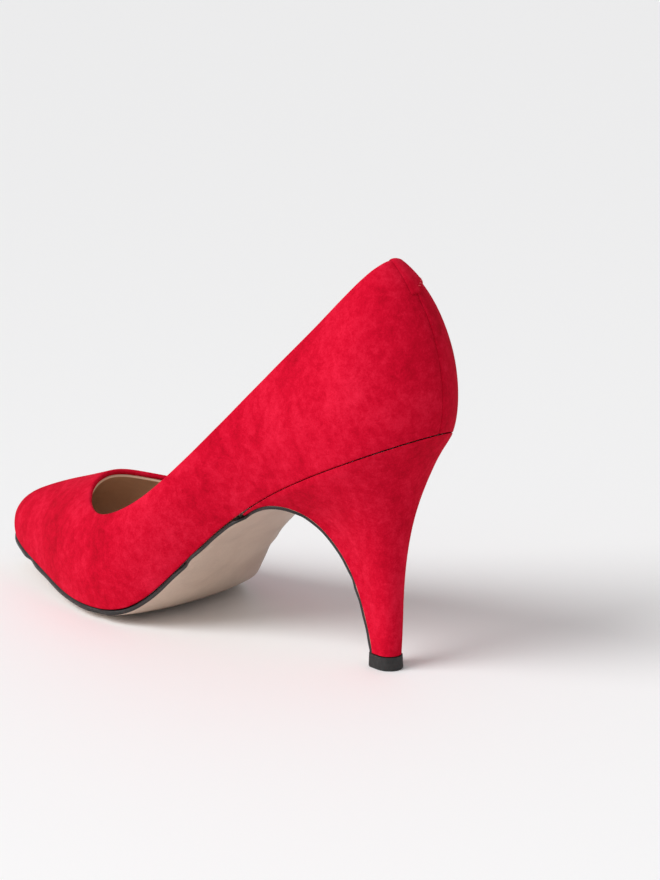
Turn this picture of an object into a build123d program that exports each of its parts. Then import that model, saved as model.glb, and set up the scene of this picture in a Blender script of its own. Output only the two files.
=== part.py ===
from build123d import *
import math
import os

# High heel pump, left foot. X runs from the back of the heel seat to the toe, Y to the outer
# (lateral) side, Z up from the ground. Every size is in millimetres.
os.makedirs("parts", exist_ok=True)

# ---------------------------------------------------------------- driving dimensions
LENGTH = 221.0            # back of the seat to the toe point, measured flat
HEEL_AXIS_X = 28.0        # centre the heel cup is swept around
TOE_AXIS_X = 140.0        # centre the toe is swept around
WAIST_SEAM_X = 98.0       # where the inner quarter is joined to the vamp
SUEDE = 1.06              # suede upper
BACKER = 1.86             # depth of the suede plus its stiffening layer
LINING = 2.90             # depth of the whole upper
GLUE = 0.04
FOLD = 1.10               # suede turned over the topline
LINING_DROP = 1.50        # lining edge below the topline
MARGIN = 10.0             # upper turned under the insole
BOARD = 2.2
FOAM = 1.2
SOCK = 0.8
LIFT_H = 4.8              # top lift
LIFT_GAP = 0.05
FLAP = 1.7                # sole leather running down the heel breast
EDGE = 1.6                # sole thickness at its edge
CROWN = 4.25              # sole thickness in the middle of the tread

# Feather line, where the upper meets the sole: distance from the seat, height above ground.
FEATHER_Z = [(-12, 89.5), (0, 84.5), (8, 81), (28, 72.3), (54, 60.3), (79, 45.0), (92, 34.0),
             (103, 23.2), (114, 13.0), (125, 6.6), (135, 4.4), (147, 4.0), (160, 4.6),
             (180, 7.4), (200, 10.3), (221, 13.4), (230, 14.6)]
# Plan outline of the feather line on the outer and the inner side of the foot.
OUTER_PLAN = [(0, 0), (2.1, 8.6), (8, 15.9), (17, 21), (28, 23), (42, 22.4), (54, 21.2), (66, 20.5),
              (79, 20.8), (92, 22.6), (103, 25.2), (114, 28.1), (125, 30.3), (135, 31.2), (145, 30.8),
              (155, 29), (165, 26.2), (175, 23), (184, 19.8), (193, 16.6), (201, 13.6), (208, 10.7),
              (214, 7.6), (218, 4.8), (220.3, 2.2), (LENGTH, 0)]
INNER_PLAN = [(0, 0), (2.1, 8.6), (8, 15.9), (17, 20.9), (28, 22.8), (42, 21.5), (54, 19.4), (66, 17),
              (79, 15.3), (92, 16.2), (103, 19.6), (114, 25.6), (125, 32.2), (135, 37.4), (145, 39.8),
              (155, 39.6), (165, 37.4), (175, 33.6), (184, 29), (193, 23.8), (201, 18.7), (208, 14),
              (214, 9.4), (218, 5.7), (220.3, 2.6), (LENGTH, 0)]
# Topline, the rim of the foot opening.
OUTER_TOP = [(20.0, 0, 141), (22.2, 6.6, 138.4), (30, 11.6, 129.6), (42, 16, 116.6), (54, 19.4, 104.8),
             (80, 25.6, 79.2), (109, 31.2, 53.2), (125, 31.6, 43.8), (139, 28.8, 39.6), (150, 23, 40.6),
             (158.5, 15, 43.4), (162.8, 7.5, 45.6), (164, 0, 46.4)]
INNER_TOP = [(20.0, 0, 141), (22.2, 6.8, 138.4), (30, 12.2, 129.6), (42, 17.2, 116.6), (54, 20.8, 105),
             (80, 27, 79.6), (109, 31.8, 54), (125, 30.8, 45), (139, 27, 41), (150, 20.6, 41.8),
             (158.5, 12.6, 44.2), (162.8, 6, 45.9), (164, 0, 46.4)]
# How the wall swells between the two lines, from the back (0) by the heel side (1) and the ball
# (2) to the toe point (3): reach out and up from the feather, reach out and down from the rim.
SWELL = [(0, 5.6, 14, 19.4, 12), (0.5, 5.8, 16, 16.6, 13), (1, 6.0, 19, 13.5, 17), (1.3, 5.2, 13, 6, 14),
         (1.64, 5.0, 11, 3.2, 9), (2, 4.6, 12.5, 6.5, 6), (2.5, 4.8, 14.5, 13, 5.5), (2.83, 5.2, 16.5, 24, 9),
         (3, 5.4, 17.5, 32, 10.5)]

# Heel block from the ground end up: back edge x and z, half width, tilt of the cutting plane.
HEEL = [(18.3, LIFT_H, 4.3, 0), (17.7, 14, 4.5, 0), (17.4, 24, 5.1, 2), (16.8, 35, 6.5, 5),
        (15.3, 47, 9.2, 9), (12.6, 58.5, 13.2, 14), (8.8, 69, 18, 19), (4.6, 77.4, 21.2, 22.5),
        (0.0, 84.6, 23, 24.5), (-2.2, 91, 23.4, 25.5)]
# Breast line, the front of the heel block, from the waist round the arch and down to the lift.
BREAST = [(92, 34.0), (84, 41.0), (77, 46.0), (70, 50.2), (62.5, 53.4), (55, 53.6), (48, 49.8),
          (41.6, 43), (36.4, 35), (32.6, 26), (29.6, 16), (27.6, 8), (27.1, LIFT_H + 0.3)]
AXIS_LOW = (22.7, 5.0)    # line of the heel's steel tube
AXIS_HIGH = (27.0, 48.0)


# ---------------------------------------------------------------- curves
def smooth(points):
    """Natural cubic spline y(x) through the points."""
    xs = [float(p[0]) for p in points]
    ys = [float(p[1]) for p in points]
    n = len(xs)
    a = [0.0] * n
    b = [1.0] * n
    c = [0.0] * n
    d = [0.0] * n
    for i in range(1, n - 1):
        h0 = xs[i] - xs[i - 1]
        h1 = xs[i + 1] - xs[i]
        a[i] = h0
        b[i] = 2 * (h0 + h1)
        c[i] = h1
        d[i] = 6 * ((ys[i + 1] - ys[i]) / h1 - (ys[i] - ys[i - 1]) / h0)
    for i in range(1, n):
        w = a[i] / b[i - 1]
        b[i] -= w * c[i - 1]
        d[i] -= w * d[i - 1]
    m = [0.0] * n
    m[-1] = d[-1] / b[-1]
    for i in range(n - 2, -1, -1):
        m[i] = (d[i] - c[i] * m[i + 1]) / b[i]

    def f(x):
        i = 0
        while i < n - 2 and x > xs[i + 1]:
            i += 1
        h = xs[i + 1] - xs[i]
        p = (xs[i + 1] - x) / h
        q = (x - xs[i]) / h
        return (p * ys[i] + q * ys[i + 1]
                + ((p ** 3 - p) * m[i] + (q ** 3 - q) * m[i + 1]) * h * h / 6)
    return f


def dense(points, n=600):
    """Smooth curve through points of any dimension, as many short steps."""
    t = [0.0]
    for p, q in zip(points, points[1:]):
        t.append(t[-1] + math.sqrt(math.dist(p, q)))
    fs = [smooth([(ti, p[k]) for ti, p in zip(t, points)]) for k in range(len(points[0]))]
    return [tuple(f(t[-1] * i / n) for f in fs) for i in range(n + 1)]


def closed(outer, inner):
    """Both sides as one run round the point they share, so the ends come out rounded."""
    lead = [(p[0], -p[1]) + tuple(p[2:]) for p in inner[3:0:-1]]
    tail = [(p[0], -p[1]) + tuple(p[2:]) for p in inner[-2:-5:-1]]
    return dense(lead + list(outer) + tail, 1400)


feather_z = smooth(FEATHER_Z)
PLAN = {1: closed(OUTER_PLAN, INNER_PLAN), -1: closed(INNER_PLAN, OUTER_PLAN)}
RIM = {1: closed(OUTER_TOP, INNER_TOP), -1: closed(INNER_TOP, OUTER_TOP)}
REACH = [smooth([(r[0], r[k]) for r in SWELL]) for k in (1, 2, 3, 4)]


def slope(x):
    return feather_z(x + 0.5) - feather_z(x - 0.5)


def steep(x):
    return math.sqrt(1 + slope(x) ** 2)


def station(s):
    """Cutting plane number s: fans round the heel, walks along the foot, fans round the toe."""
    if s <= 1:
        return HEEL_AXIS_X, math.pi - math.pi / 2 * s
    if s <= 2:
        return HEEL_AXIS_X + (TOE_AXIS_X - HEEL_AXIS_X) * (s - 1), math.pi / 2
    return TOE_AXIS_X, math.pi / 2 * (3 - s)


def at_x(x):
    return 1 + (x - HEEL_AXIS_X) / (TOE_AXIS_X - HEEL_AXIS_X)


def cross(run, ox, ang):
    """Where a run of points meets the half plane that starts at x = ox and points along ang."""
    c, s = math.cos(ang), math.sin(ang)
    best = None
    for p, q in zip(run, run[1:]):
        dp = -(p[0] - ox) * s + p[1] * c
        dq = -(q[0] - ox) * s + q[1] * c
        if (dp > 0) != (dq > 0):
            k = dp / (dp - dq)
            v = [a + (b - a) * k for a, b in zip(p, q)]
            r = (v[0] - ox) * c + v[1] * s
            if r > 0.5 and (best is None or r > best[0]):
                best = (r, v[2] if len(v) > 2 else None)
    return best


def bez(c, t):
    u = 1 - t
    w = (u ** 3, 3 * u * u * t, 3 * u * t * t, t ** 3)
    return (sum(a * p[0] for a, p in zip(w, c)), sum(a * p[1] for a, p in zip(w, c)))


def bez_part(c, t0, t1):
    """The stretch of a cubic between two parameters, as a cubic."""
    def d(t):
        u = 1 - t
        w = (u * u, 2 * u * t, t * t)
        return [3 * sum(a * (q[k] - p[k]) for a, p, q in zip(w, c, c[1:])) for k in (0, 1)]
    p0, p3, d0, d1 = bez(c, t0), bez(c, t1), d(t0), d(t1)
    h = (t1 - t0) / 3
    return [p0, (p0[0] + d0[0] * h, p0[1] + d0[1] * h), (p3[0] - d1[0] * h, p3[1] - d1[1] * h), p3]


WALLS = {}


def wall(side, s):
    """Outer face of the upper in plane s: a cubic in (distance from the axis, height)."""
    key = (side, round(s, 5))
    if key not in WALLS:
        ox, ang = station(s)
        rf = cross(PLAN[side], ox, ang)[0]
        zf = feather_z(ox + rf * math.cos(ang))
        rt, zt = cross(RIM[side], ox, ang)
        o1, h1, o2, h2 = (f(s) for f in REACH)
        WALLS[key] = [(rf, zf), (rf + o1, zf + h1), (rt + o2, zt - h2), (rt, zt)]
    return WALLS[key]


def place(side, s, p):
    ox, ang = station(s)
    return (ox + p[0] * math.cos(ang), side * p[0] * math.sin(ang), p[1])


def lean(side, s, t):
    """How far an inward step in the plane must be stretched to be a true thickness."""
    e = 0.02
    a = place(side, max(s - e, 0), bez(wall(side, max(s - e, 0)), t))
    b = place(side, min(s + e, 3), bez(wall(side, min(s + e, 3)), t))
    c0 = place(side, s, bez(wall(side, s), max(t - e, 0)))
    c1 = place(side, s, bez(wall(side, s), min(t + e, 1)))
    u = [q - p for p, q in zip(a, b)]
    v = [q - p for p, q in zip(c0, c1)]
    n = [u[1] * v[2] - u[2] * v[1], u[2] * v[0] - u[0] * v[2], u[0] * v[1] - u[1] * v[0]]
    ln = math.sqrt(sum(k * k for k in n))
    p0 = bez(wall(side, s), max(t - e, 0))
    p1 = bez(wall(side, s), min(t + e, 1))
    dr, dz = p1[0] - p0[0], p1[1] - p0[1]
    l2 = math.hypot(dr, dz)
    m = (dz / l2, -dr / l2)
    ang = station(s)[1]
    m3 = (m[0] * math.cos(ang), side * m[0] * math.sin(ang), m[1])
    cosine = abs(sum(p * q for p, q in zip(n, m3))) / ln
    return m, 1 / max(cosine, 0.45)


LEVELS = {}


def level(side, s, depth):
    """The upper's wall moved inward by a thickness, as a cubic."""
    key = (side, round(s, 5), round(depth, 4))
    if key in LEVELS:
        return LEVELS[key]
    c = wall(side, s)
    if depth == 0:
        LEVELS[key] = c
        return c
    ts = [i / 10 for i in range(11)]
    pts = []
    for t in ts:
        m, k = lean(side, s, t)
        p = bez(c, t)
        pts.append((p[0] - m[0] * depth * k, p[1] - m[1] * depth * k))
    p0, p3 = pts[0], pts[-1]
    out = []
    aa = ab = bb = 0.0
    ra = [0.0, 0.0]
    rb = [0.0, 0.0]
    for t, p in zip(ts, pts):
        u = 1 - t
        A, B = 3 * u * u * t, 3 * u * t * t
        aa += A * A
        ab += A * B
        bb += B * B
        for k in (0, 1):
            q = p[k] - u ** 3 * p0[k] - t ** 3 * p3[k]
            ra[k] += A * q
            rb[k] += B * q
    det = aa * bb - ab * ab
    for k in (0, 1):
        out.append(((ra[k] * bb - rb[k] * ab) / det, (rb[k] * aa - ra[k] * ab) / det))
    res = [p0, (out[0][0], out[1][0]), (out[0][1], out[1][1]), p3]
    LEVELS[key] = res
    return res


def sole_z(side, s, r):
    ox, ang = station(s)
    x = ox + r * math.cos(ang)
    return feather_z(x), steep(x)


def start(side, s, depth):
    """Parameter where an inner level rises off the part turned under the insole."""
    c = level(side, s, depth)
    lo, hi = 0.0, 0.5
    for _ in range(30):
        t = (lo + hi) / 2
        p = bez(c, t)
        z, k = sole_z(side, s, p[0])
        if p[1] < z + depth * k:
            lo = t
        else:
            hi = t
    return lo


def down(side, s, depth, drop):
    """Parameter a given distance below the rim."""
    c = level(side, s, depth)
    lo, hi = 0.4, 1.0
    end = c[3]
    for _ in range(30):
        t = (lo + hi) / 2
        if math.dist(bez(c, t), end) > drop:
            lo = t
        else:
            hi = t
    return (lo + hi) / 2


def under(side, s, depth, r):
    z, k = sole_z(side, s, r)
    return (r, z + depth * k)


def rail(side, s, corners):
    """Closed section in plane s from a list of points and cubics."""
    edges = []
    last = None
    first = None
    for item in corners:
        if isinstance(item, list):
            pts = [Vector(*place(side, s, p)) for p in item]
            if last is not None and (pts[0] - last).length > 1e-4:
                edges.append(Edge.make_line(last, pts[0]))
            edges.append(Edge.make_bezier(*pts))
            head, last = pts[0], pts[-1]
        else:
            head = Vector(*place(side, s, item))
            if last is not None:
                edges.append(Edge.make_line(last, head))
            last = head
        if first is None:
            first = head
    if (last - first).length > 1e-4:
        edges.append(Edge.make_line(last, first))
    return Wire(edges)


def margin_r(side, s, width):
    return wall(side, s)[0][0] - width


def suede_section(side, s):
    c0, c1, c2 = (level(side, s, d) for d in (0, SUEDE, BACKER))
    cut1, cut2 = down(side, s, SUEDE, FOLD), down(side, s, BACKER, FOLD)
    lip = bez_part(c2, cut2, 1.0)[::-1]
    inner = bez_part(c1, start(side, s, SUEDE), cut1)[::-1]
    m = margin_r(side, s, MARGIN)
    return rail(side, s, [list(c0), lip, inner, under(side, s, SUEDE, m), under(side, s, 0, m)])


def stiff_section(side, s):
    g = SUEDE + GLUE
    c1, c2 = level(side, s, g), level(side, s, BACKER - GLUE)
    m = margin_r(side, s, MARGIN)
    out = bez_part(c1, start(side, s, g), down(side, s, g, FOLD + GLUE))
    inner = bez_part(c2, start(side, s, BACKER - GLUE), down(side, s, BACKER - GLUE, FOLD + GLUE))[::-1]
    return rail(side, s, [out, inner, under(side, s, BACKER - GLUE, m), under(side, s, g, m)])


def lining_section(side, s):
    g = BACKER + GLUE
    c1, c2 = level(side, s, g), level(side, s, LINING)
    m = margin_r(side, s, MARGIN)
    out = bez_part(c1, start(side, s, g), down(side, s, g, LINING_DROP))
    inner = bez_part(c2, start(side, s, LINING), down(side, s, LINING, LINING_DROP))[::-1]
    return rail(side, s, [out, inner, under(side, s, LINING, m), under(side, s, g, m)])


HEEL_STOPS = [i / 8 for i in range(8)]
SIDE_STOPS = [1 + i / 22 for i in range(22)]
TOE_STOPS = [2, 2.1, 2.2, 2.29, 2.38, 2.46, 2.53, 2.6, 2.66, 2.72, 2.77, 2.82, 2.86, 2.9, 2.94, 2.97, 3]
STOPS = HEEL_STOPS + SIDE_STOPS + TOE_STOPS


def stops(a, b):
    """Planes between two places; the sign says which side, 0 is the back and 3 the toe point."""
    mid = [s for s in STOPS if a + 0.03 < s < b - 0.03]
    near = [a + 0.014] if 0 < a else []
    far = [b - 0.014] if b < 3 else []
    return [a] + near + mid + far + [b]


def ring(section, planes):
    return Solid.make_loft([section(side, s) for side, s in planes], ruled=False)


def run_of(a, b):
    """Planes from a to b round the shoe: negative numbers are the inner side."""
    if a < 0 <= b and b <= 1.9:
        back = [(-1, s) for s in reversed(stops(0, -a))][:-1]
        return back + [(1, s) for s in stops(0, b)]
    if a >= 0 and b < 0:
        return [(1, s) for s in stops(a, 3)] + [(-1, s) for s in reversed(stops(-b, 3))][1:]
    if a >= 0:
        return [(1, s) for s in stops(a, b)]
    return [(-1, s) for s in stops(-b, -a)]


def half_at(run, x):
    """Half width of a plan run at x (the widest crossing)."""
    best = 0.0
    for p, q in zip(run, run[1:]):
        if (p[0] - x > 0) != (q[0] - x > 0):
            k = (x - p[0]) / (q[0] - p[0])
            best = max(best, p[1] + (q[1] - p[1]) * k)
    return best


def quad(corners):
    v = [Vector(*c) for c in corners]
    return Wire([Edge.make_line(a, b) for a, b in zip(v, v[1:] + v[:1])])


def board(x_stops, inset, low, high):
    """Sheet lying on the last's bottom between two heights above the feather line."""
    wires = []
    for x in x_stops:
        k = steep(x)
        a = max(half_at(PLAN[1], x) - inset(1, x), 0.8)
        b = max(half_at(PLAN[-1], x) - inset(-1, x), 0.8)
        z = feather_z(x)
        wires.append(quad([(x, a, z + low * k), (x, -b, z + low * k),
                           (x, -b, z + high * k), (x, a, z + high * k)]))
    return Solid.make_loft(wires, ruled=False)


def edge_inset(depth):
    """Plan distance that keeps a sheet a true distance inside the outline."""
    def f(side, x):
        y0, y1 = half_at(PLAN[side], x - 0.4), half_at(PLAN[side], x + 0.4)
        return depth * math.sqrt(1 + ((y1 - y0) / 0.8) ** 2)
    return f


def rod(x, y, z0, z1, r, lean_x=0.0):
    """Round pin between two heights, its axis leaning forward by lean_x over its length."""
    a, b = Vector(x, y, z0), Vector(x + lean_x, y, z1)
    return Solid.make_cylinder(r, (b - a).length, Plane(origin=a, z_dir=(b - a)))


def side_block(points, depth=60):
    """Solid as wide as the shoe whose outline in the side view is the closed run of points."""
    v = [Vector(x, -depth, z) for x, z in points]
    face = Face(Wire([Edge.make_line(a, b) for a, b in zip(v, v[1:] + v[:1])]))
    return Solid.extrude(face, Vector(0, 2 * depth, 0))


# ---------------------------------------------------------------- upper: suede
BACK_SEAM = 0.004         # half gap of the back seam, in stations
HALF_GAP = 0.0006         # half gap of the other suede seam
LAYER_GAP = 0.0008        # half gap between neighbouring linings or stiffeners
OUTER_SPLIT, INNER_SPLIT = 1.5, 1.2   # stations where one piece is built in two lofts
waist = at_x(WAIST_SEAM_X)
outer_upper = (ring(suede_section, run_of(BACK_SEAM, OUTER_SPLIT))
               + ring(suede_section, run_of(OUTER_SPLIT, -(waist + HALF_GAP))))
inner_quarter = (ring(suede_section, run_of(-(waist - HALF_GAP), -INNER_SPLIT))
                 + ring(suede_section, run_of(-INNER_SPLIT, -BACK_SEAM)))

# ---------------------------------------------------------------- upper: stiffening layer
COUNTER_X = 74.0          # front end of the heel counter
PUFF_STATION = 2.36       # rear end of the toe puff, by station
counter_s = at_x(COUNTER_X)
heel_counter = ring(stiff_section, run_of(-counter_s, counter_s))
toe_puff = ring(stiff_section, run_of(PUFF_STATION, -PUFF_STATION))
outer_interlining = ring(stiff_section, run_of(counter_s + LAYER_GAP, PUFF_STATION - LAYER_GAP))
inner_interlining = ring(stiff_section, run_of(-(PUFF_STATION - LAYER_GAP), -(counter_s + LAYER_GAP)))

# ---------------------------------------------------------------- upper: linings
GRIP_X = 45.0             # front end of the suede heel grip
VAMP_LINING_X = 104.0     # seam between quarter and vamp linings
grip_s, vamp_s = at_x(GRIP_X), at_x(VAMP_LINING_X)
heel_grip = ring(lining_section, run_of(-grip_s, grip_s))
outer_quarter_lining = ring(lining_section, run_of(grip_s + LAYER_GAP, vamp_s - LAYER_GAP))
inner_quarter_lining = ring(lining_section, run_of(-(vamp_s - LAYER_GAP), -(grip_s + LAYER_GAP)))
vamp_lining = ring(lining_section, run_of(vamp_s, -vamp_s))

# ---------------------------------------------------------------- bottom, inside the upper
BOARD_GAP = 0.06          # insole above the turned-under upper
WALL_GAP = 0.25           # insole inside the lining
LAYER = 0.05              # glue between foam, sock and insole
LOW = LINING + BOARD_GAP
TOP = LOW + BOARD
INSIDE = edge_inset(LINING + WALL_GAP)
TOE_END = [183, 191, 199, 206, 211, 214]
front_insole = board([92.5, 97, 103, 109, 116, 124, 132, 140, 150, 160, 172] + TOE_END, INSIDE, LOW, TOP)
BACK_END = [4.2, 5.4, 7.6, 11, 16, 22, 28]
rear_insole = board(BACK_END + [36, 45, 54, 63, 72, 80, 87, 92.4], INSIDE, LOW, TOP)
WHOLE = BACK_END + [36, 45, 54, 63, 72, 81, 90, 98, 106, 114, 122, 131, 140, 150, 160, 172] + TOE_END
sock_foam = board(WHOLE, INSIDE, TOP + LAYER, TOP + FOAM)
sock_lining = board(WHOLE, INSIDE, TOP + FOAM + LAYER, TOP + FOAM + SOCK)

MID = edge_inset(MARGIN + 2.6)
bottom_filler = board([121, 126, 132, 140, 150, 160, 170, 180], MID, 0.12, LINING - 0.1)
wires = []
for x, w in ((18, 4.6), (26, 5.8), (36, 5.6), (48, 5), (62, 4.2), (76, 3.6), (90, 3.6), (102, 4.8),
             (112, 6), (117.5, 5.4)):
    z, k = feather_z(x), steep(x)
    wires.append(quad([(x, w, z + 1.5 * k), (x, -w, z + 1.5 * k), (x, -w, z + 2.8 * k),
                       (x, w, z + 2.8 * k)]))
steel_shank = Solid.make_loft(wires, ruled=False)

# ---------------------------------------------------------------- sole
BREAST_TOP_X = 76.0       # behind this the sole is the flap on the heel breast
WAIST_FRONT_X = 110.0     # where the sole starts to thin towards the waist
WAIST_RUN = 40.0
FLAP_ROUNDING = 0.5       # flap edge thinner than its middle
FULL_WIDTH = 50.0         # width at which the sole has its full crown
BULGE_SPREAD = 0.55
SOLE_GLUE = 0.08
breast = dense(BREAST, 300)


def along(run, count):
    return [run[round(i * (len(run) - 1) / count)] for i in range(count + 1)]


sole_path = [(x, feather_z(x)) for x in (220.5, 219.5, 217.6, 215, 211, 206, 199, 191, 182, 172, 162, 152,
                                         143, 134, 127, 120, 114, 108, 103, 98)]
sole_path += along(breast, 24)
fine = dense(sole_path, 1600)
HEEL_FUN = [smooth([(i, h[k]) for i, h in enumerate(HEEL)]) for k in range(4)]


def heel_half(side, w, xi):
    """Half width of heel plane w at plan station xi: a small D low down, the seat plan on top."""
    r = HEEL_FUN[2](w)
    seat = min(max((r - 4.6) / 18.4, 0), 1) ** 2
    own = half_at(PLAN[side], xi)
    even = (half_at(PLAN[1], min(xi, 60)) + half_at(PLAN[-1], min(xi, 60))) / 2
    return (own * seat + even * (1 - seat)) * r / 23.0


def heel_reach(w):
    r = HEEL_FUN[2](w)
    return (r * 1.04 + 4.1 * (r / 23) ** 4) / 28.0


def heel_plane_of(x, z):
    """The heel plane that passes through a point of the side view."""
    lo, hi = 0.0, len(HEEL) - 1.0
    for _ in range(40):
        w = (lo + hi) / 2
        t = math.radians(HEEL_FUN[3](w))
        d = (x - HEEL_FUN[0](w)) * math.sin(t) + (z - HEEL_FUN[1](w)) * math.cos(t)
        if d > 0:
            lo = w
        else:
            hi = w
    return (lo + hi) / 2


def path_dir(i):
    a, b = fine[max(i - 3, 0)], fine[min(i + 3, len(fine) - 1)]
    d = math.dist(a, b)
    return (b[0] - a[0]) / d, (b[1] - a[1]) / d


def sole_width(side, x, z, on_breast):
    if not on_breast:
        return half_at(PLAN[side], x)
    w = heel_plane_of(x, z)
    return heel_half(side, w, max(0.5, (x - HEEL_FUN[0](w)) / heel_reach(w)))


def sole_section(x, z, tx, tz):
    """Section of the sole square to its path (tx, tz): flat on top, bulging on the ground side."""
    nx, nz = -tz, tx                      # points to the ground side of the sheet
    a = sole_width(1, x, z, x <= BREAST_TOP_X)
    b = sole_width(-1, x, z, x <= BREAST_TOP_X)
    turn = min(max((WAIST_FRONT_X - x) / WAIST_RUN, 0), 1)
    edge = EDGE * (1 - turn) + (FLAP - FLAP_ROUNDING) * turn
    crown = CROWN * (1 - turn) + FLAP * turn
    bulge = (crown - edge) * min(1.0, (a + b) / FULL_WIDTH)

    def point(y, depth):
        return Vector(x + nx * depth, y, z + nz * depth)
    middle, reach = (a - b) / 2, (a + b) / 2 * BULGE_SPREAD
    top_a, top_b = point(a, SOLE_GLUE), point(-b, SOLE_GLUE)
    low_a, low_b = point(a, edge), point(-b, edge)
    pull_b = point(middle - reach, edge + bulge * 1.2)
    pull_a = point(middle + reach, edge + bulge * 1.2)
    return Wire([Edge.make_line(top_a, top_b), Edge.make_line(top_b, low_b),
                 Edge.make_bezier(low_b, pull_b, pull_a, low_a), Edge.make_line(low_a, top_a)])


index = [0] + [min(range(len(fine)), key=lambda i: math.dist(fine[i], p)) for p in sole_path[1:]]
sole_wires = [sole_section(*fine[i], *path_dir(i)) for i in index]
outsole = Solid.make_loft(sole_wires, ruled=False)

# ---------------------------------------------------------------- heel
HEEL_RUN = [84, 72, 60, 50, 39, 28, 18, 10, 4.5, 1.2]


def heel_section(w, inset):
    xb, zb, tilt = HEEL_FUN[0](w), HEEL_FUN[1](w), math.radians(HEEL_FUN[3](w))
    k = heel_reach(w)
    pts = [(xb + xi * k, heel_half(1, w, xi)) for xi in HEEL_RUN] + [(xb, 0.0)]
    pts += [(xb + xi * k, -heel_half(-1, w, xi)) for xi in reversed(HEEL_RUN)]
    moved = []
    for i, p in enumerate(pts):
        a, b = pts[max(i - 1, 0)], pts[min(i + 1, len(pts) - 1)]
        d = math.dist(a, b)
        moved.append((p[0] - (b[1] - a[1]) / d * inset, p[1] + (b[0] - a[0]) / d * inset))
    v = [Vector(x, y, zb - (x - xb) * math.tan(tilt)) for x, y in moved]
    return Wire([Edge.make_spline(v), Edge.make_line(v[-1], v[0])])


def heel_body(inset):
    ws = [0, 0.5, 1, 1.5, 2, 2.5, 3, 3.5, 4, 4.5, 5, 5.5, 6, 6.5, 7, 7.5, 8, 9]
    return Solid.make_loft([heel_section(w, inset) for w in ws], ruled=False)


HEEL_FRONT_X = 74.0       # tip of the heel block under the waist
COVER = 0.85              # suede on the heel block
SEAT_GLUE = 0.06
seat_run = [(x, feather_z(x) - SEAT_GLUE) for x in (-12, -8, -4, 0, 4, 8, 14, 20, 28, 36, 45, 54, 60, 66, 70,
                                                      HEEL_FRONT_X)]
breast_run = [p for p in along(breast, 120) if p[0] < HEEL_FRONT_X - 0.01]
room = side_block(seat_run + breast_run + [(-12, LIFT_H)])
heel_cover = (heel_body(0) - heel_body(COVER)) & room
heel_core = heel_body(COVER + LAYER) & room

lean_rate = (AXIS_HIGH[0] - AXIS_LOW[0]) / (AXIS_HIGH[1] - AXIS_LOW[1])


def on_axis(z):
    return AXIS_LOW[0] + (z - AXIS_LOW[1]) * lean_rate


def axis_rod(z0, z1, r):
    return rod(on_axis(z0), 0, z0, z1, r, on_axis(z1) - on_axis(z0))


heel_tube = axis_rod(LIFT_H + 0.35, AXIS_HIGH[1], 2.3) - axis_rod(LIFT_H - 1, AXIS_HIGH[1] + 1, 1.45)
heel_core = heel_core - axis_rod(LIFT_H - 1, AXIS_HIGH[1] + 0.1, 2.34)


def stud(x, y, low, high, r):
    """Pin square to the last's bottom, between two depths measured from the feather surface."""
    k = steep(x)
    n = Vector(-slope(x) / k, 0, 1 / k)
    o = Vector(x, y, feather_z(x)) + n * low
    return Solid.make_cylinder(r, high - low, Plane(origin=o, z_dir=n))


def fastener(x, y, low, high, r, head_r, head_t):
    return stud(x, y, low, high, r) + stud(x, y, high - head_t, high, head_r)


SCREW_X = 27.0
heel_screw = fastener(SCREW_X, 0, -17, TOP - 0.05, 1.9, 3.3, 1.5)
screw_hole = fastener(SCREW_X, 0, -17.1, TOP + 0.5, 1.93, 3.34, 2.08)
NAILS = [("heel_nail_1", 19, 6.6), ("heel_nail_2", 19, -6.6),
         ("heel_nail_3", 43, 7.4), ("heel_nail_4", 43, -7.4)]
RIVETS = [("shank_rivet_rear", 62), ("shank_rivet_front", 107)]
holes = [screw_hole]
nails = []
for name, x, y in NAILS:
    nails.append((name, fastener(x, y, -11, TOP - 0.05, 0.85, 1.7, 0.7)))
    holes.append(fastener(x, y, -11.1, TOP + 0.5, 0.88, 1.74, 1.28))
rivets = []
for name, x in RIVETS:
    rivet = stud(x, 0, 0.75, TOP - 0.3, 1.5) + stud(x, 0, 0.75, 1.4, 2.6)
    rivets.append((name, rivet))
    holes.append(stud(x, 0, 0.5, TOP - 0.25, 1.53) + stud(x, 0, 0.5, 1.44, 2.7))
for hole in holes:
    heel_core = heel_core - hole
    rear_insole = rear_insole - hole
    steel_shank = steel_shank - hole
front_insole = front_insole - holes[-1]

# Top lift: a D of hard rubber under the heel end and the sole's flap, with its steel pin.
lift_front = BREAST[-1][0] + FLAP + 0.15


def lift_section(z, grow):
    xb = HEEL[0][0] - grow
    k = heel_reach(0)
    ring_pts = []
    for xi in (50, 39, 28, 18, 10, 4.5, 1.2):
        ring_pts.append((xb + xi * k * 1.05, heel_half(1, 0, xi) + grow))
    side_y = heel_half(1, 0, 60) + grow
    front = lift_front + grow * 0.6
    pts = [(front - 0.9, side_y)] + ring_pts + [(xb, 0.0)] + [(x, -y) for x, y in reversed(ring_pts)]
    pts.append((front - 0.9, -side_y))
    v = [Vector(x, y, z) for x, y in pts]
    a, b = Vector(front, -side_y + 0.9, z), Vector(front, side_y - 0.9, z)
    return Wire([Edge.make_spline(v), Edge.make_line(v[-1], a), Edge.make_line(a, b), Edge.make_line(b, v[0])])


top_lift = Solid.make_loft([lift_section(0, 0.25), lift_section(0.5, 0.45), lift_section(LIFT_H - LIFT_GAP, 0.3)],
                           ruled=True)
lift_pin = axis_rod(1.6, 21, 1.4)
top_lift = top_lift - axis_rod(1.55, 21, 1.43)

# ---------------------------------------------------------------- back tab
TAB_H = 15.0              # height at the back seam
TAB_T = 0.6               # stands this far off the suede
TAB_TAPER = 0.45          # share of the height lost at its far end
TAB_END = 0.42            # far end, by station


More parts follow.
